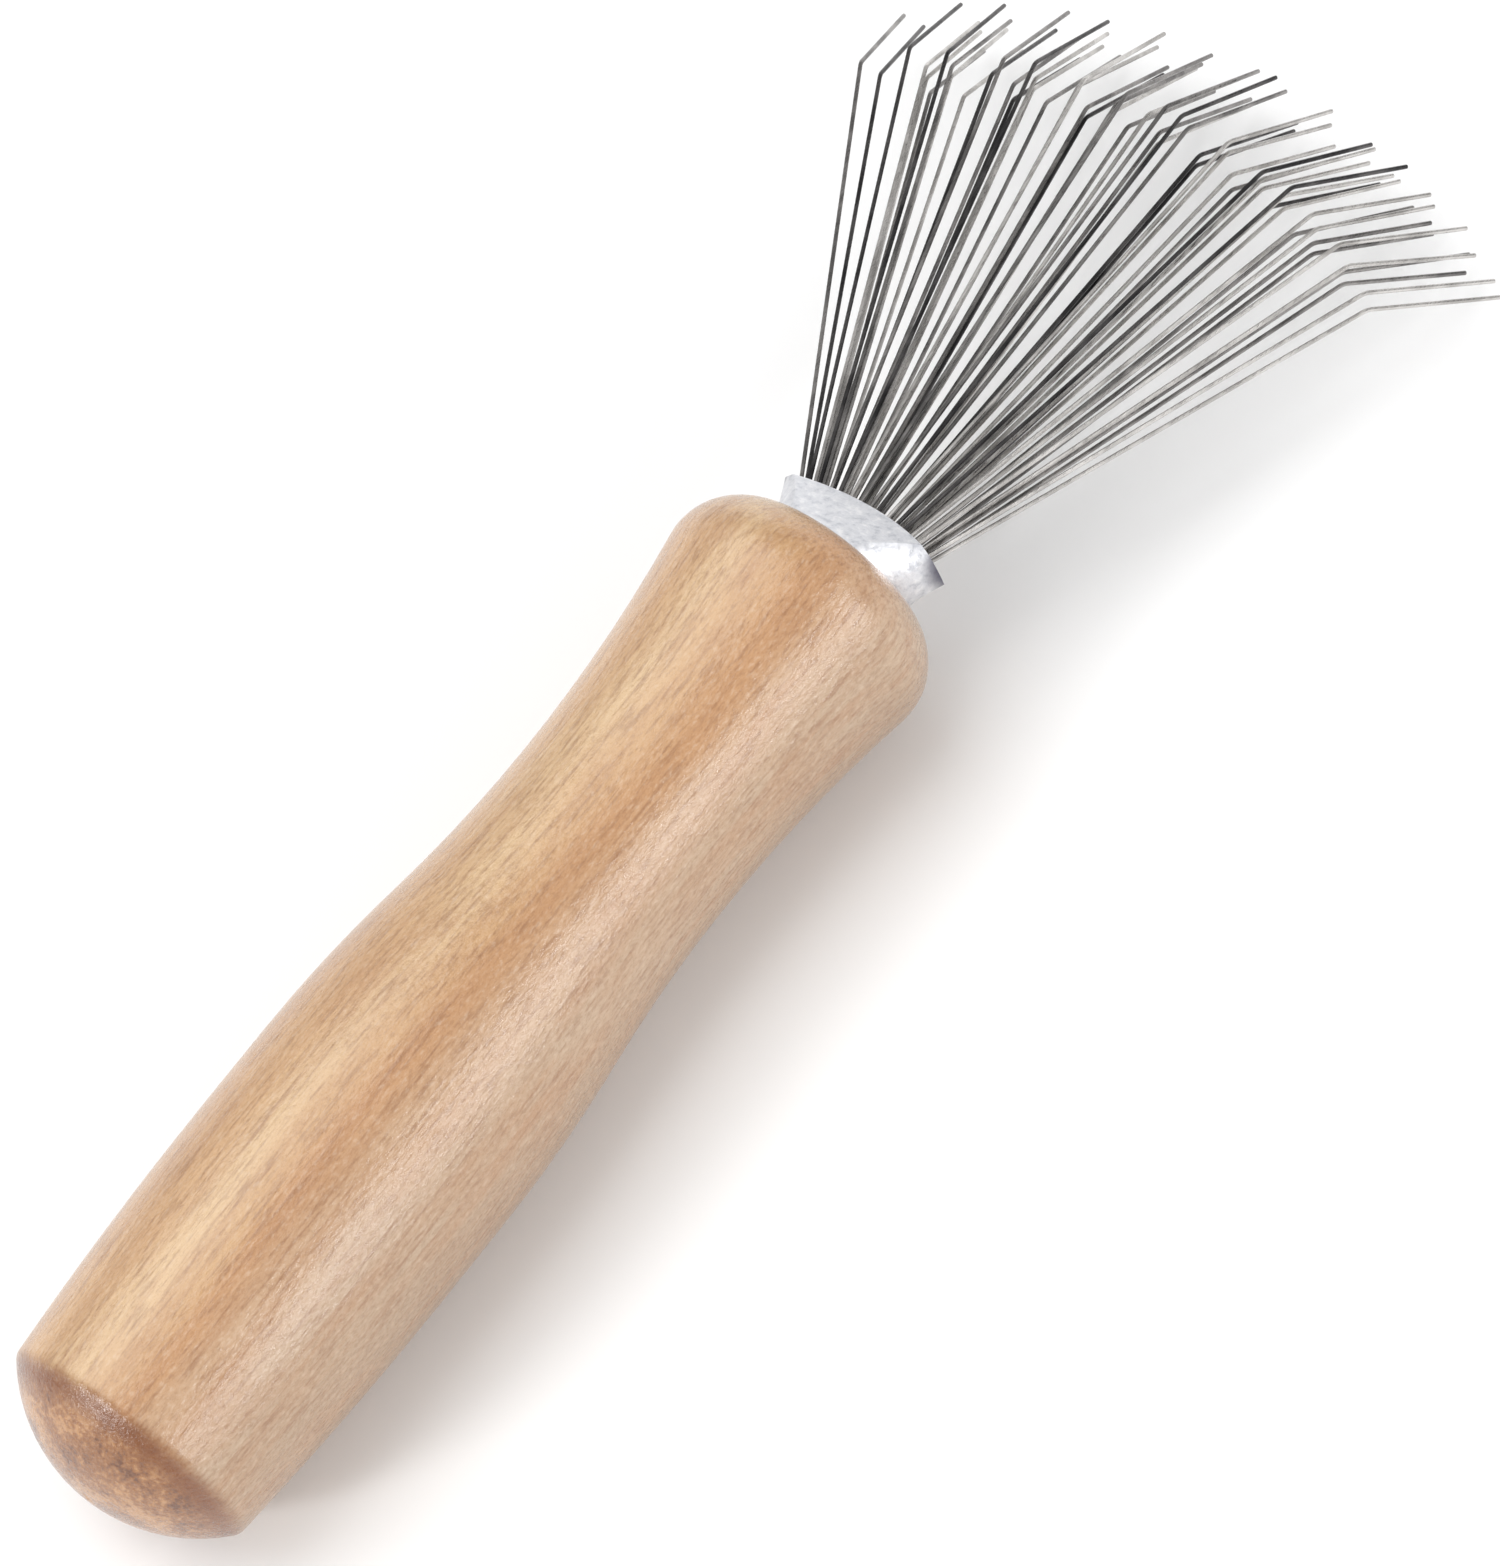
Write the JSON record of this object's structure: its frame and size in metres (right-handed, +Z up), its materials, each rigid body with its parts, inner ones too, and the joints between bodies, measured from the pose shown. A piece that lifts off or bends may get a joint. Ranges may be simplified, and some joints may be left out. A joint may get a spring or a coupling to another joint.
{
  "type": "wire rake fork",
  "caption": "Small hand fork: turned wooden handle, pressed aluminium ferrule and a fan of fine steel wires with bent tips, for uncapping comb or cleaning brushes.",
  "frame": {"origin": "on the handle's axis at its thickest place, where the hand closes on it", "axes": "+X along the handle towards the wires, +Z up with the wire tips bending down to -Z, +Y to the left seen from the butt"},
  "size_m": [0.134, 0.054, 0.0212],
  "materials": {
    "turned_wood": "clear satin lacquer over pale beech",
    "ferrule_aluminium": "drawn tube, pressed at the mouth, dull",
    "potting_resin": "cast filler, grey",
    "spring_steel_wire": "drawn spring wire, grey"
  },
  "bodies": {
    "root": {"bottom_wire_01": "spring_steel_wire", "bottom_wire_02": "spring_steel_wire", "bottom_wire_03": "spring_steel_wire", "bottom_wire_04": "spring_steel_wire", "bottom_wire_05": "spring_steel_wire", "bottom_wire_06": "spring_steel_wire", "bottom_wire_07": "spring_steel_wire", "bottom_wire_08": "spring_steel_wire", "bottom_wire_09": "spring_steel_wire", "bottom_wire_10": "spring_steel_wire", "bottom_wire_11": "spring_steel_wire", "bottom_wire_12": "spring_steel_wire", "bottom_wire_13": "spring_steel_wire", "ferrule": "ferrule_aluminium", "handle": "turned_wood", "lower_wire_01": "spring_steel_wire", "lower_wire_02": "spring_steel_wire", "lower_wire_03": "spring_steel_wire", "lower_wire_04": "spring_steel_wire", "lower_wire_05": "spring_steel_wire", "lower_wire_06": "spring_steel_wire", "lower_wire_07": "spring_steel_wire", "lower_wire_08": "spring_steel_wire", "lower_wire_09": "spring_steel_wire", "lower_wire_10": "spring_steel_wire", "lower_wire_11": "spring_steel_wire", "lower_wire_12": "spring_steel_wire", "lower_wire_13": "spring_steel_wire", "lower_wire_14": "spring_steel_wire", "lower_wire_15": "spring_steel_wire", "potting": "potting_resin", "top_wire_01": "spring_steel_wire", "top_wire_02": "spring_steel_wire", "top_wire_03": "spring_steel_wire", "top_wire_04": "spring_steel_wire", "top_wire_05": "spring_steel_wire", "top_wire_06": "spring_steel_wire", "top_wire_07": "spring_steel_wire", "top_wire_08": "spring_steel_wire", "top_wire_09": "spring_steel_wire", "top_wire_10": "spring_steel_wire", "top_wire_11": "spring_steel_wire", "top_wire_12": "spring_steel_wire", "top_wire_13": "spring_steel_wire", "upper_wire_01": "spring_steel_wire", "upper_wire_02": "spring_steel_wire", "upper_wire_03": "spring_steel_wire", "upper_wire_04": "spring_steel_wire", "upper_wire_05": "spring_steel_wire", "upper_wire_06": "spring_steel_wire", "upper_wire_07": "spring_steel_wire", "upper_wire_08": "spring_steel_wire", "upper_wire_09": "spring_steel_wire", "upper_wire_10": "spring_steel_wire", "upper_wire_11": "spring_steel_wire", "upper_wire_12": "spring_steel_wire", "upper_wire_13": "spring_steel_wire", "upper_wire_14": "spring_steel_wire", "upper_wire_15": "spring_steel_wire"}
  },
  "joints": []
}
